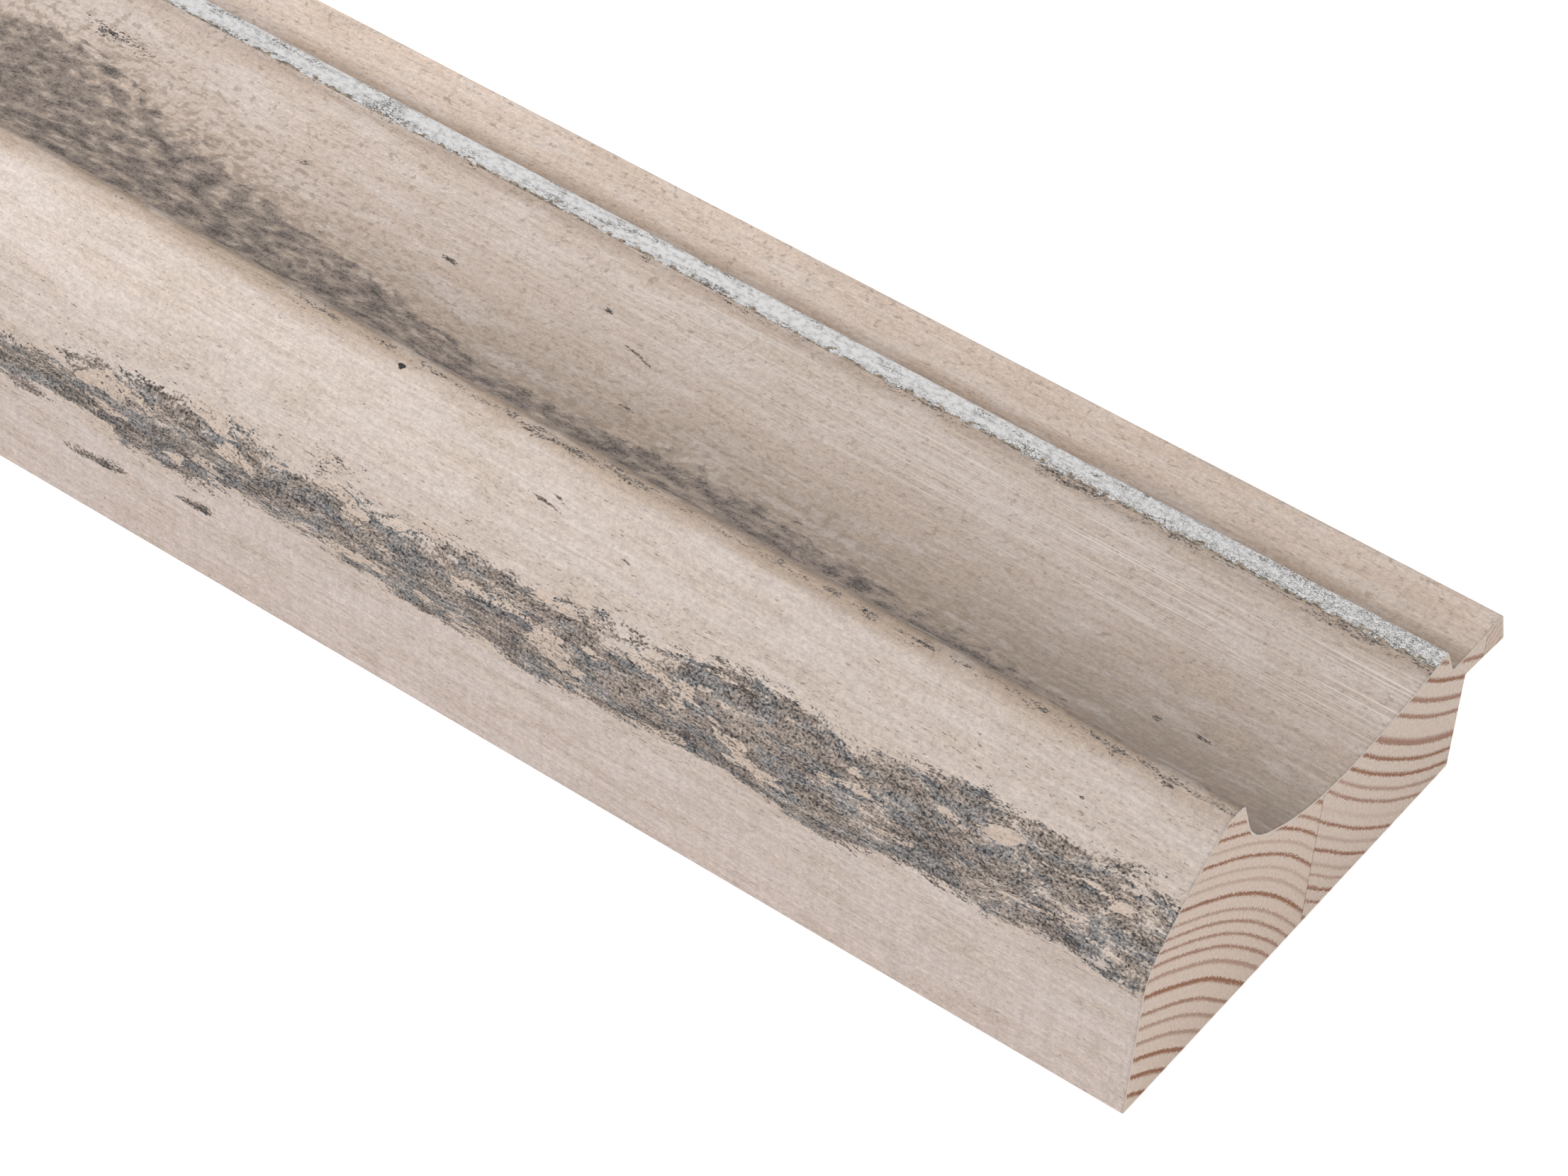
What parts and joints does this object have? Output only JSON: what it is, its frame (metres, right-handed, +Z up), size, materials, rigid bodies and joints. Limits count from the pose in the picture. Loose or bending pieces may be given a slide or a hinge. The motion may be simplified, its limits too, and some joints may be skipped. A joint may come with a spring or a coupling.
{
  "type": "picture frame moulding",
  "caption": "Straight stick of picture frame moulding: flat back, rounded outer shoulder, raised crest, wide scoop down to a silvered ridge, and a thin lip standing over the rabbet.",
  "frame": {"origin": "middle of the stick's footprint, on the plane of its flat back", "axes": "+X across the section from the outer wall to the lip, +Y along the stick away from the cut end that faces the camera, +Z up from the flat back"},
  "size_m": [0.079, 1.2192, 0.0356],
  "materials": {
    "pine": "bare planed softwood",
    "painted_face": "distressed greige paint over gesso, matt",
    "silver_leaf": "cracked silver leaf"
  },
  "bodies": {
    "root": {"front_stave": "pine", "middle_stave": "pine", "lip_stave": "pine"}
  },
  "joints": []
}
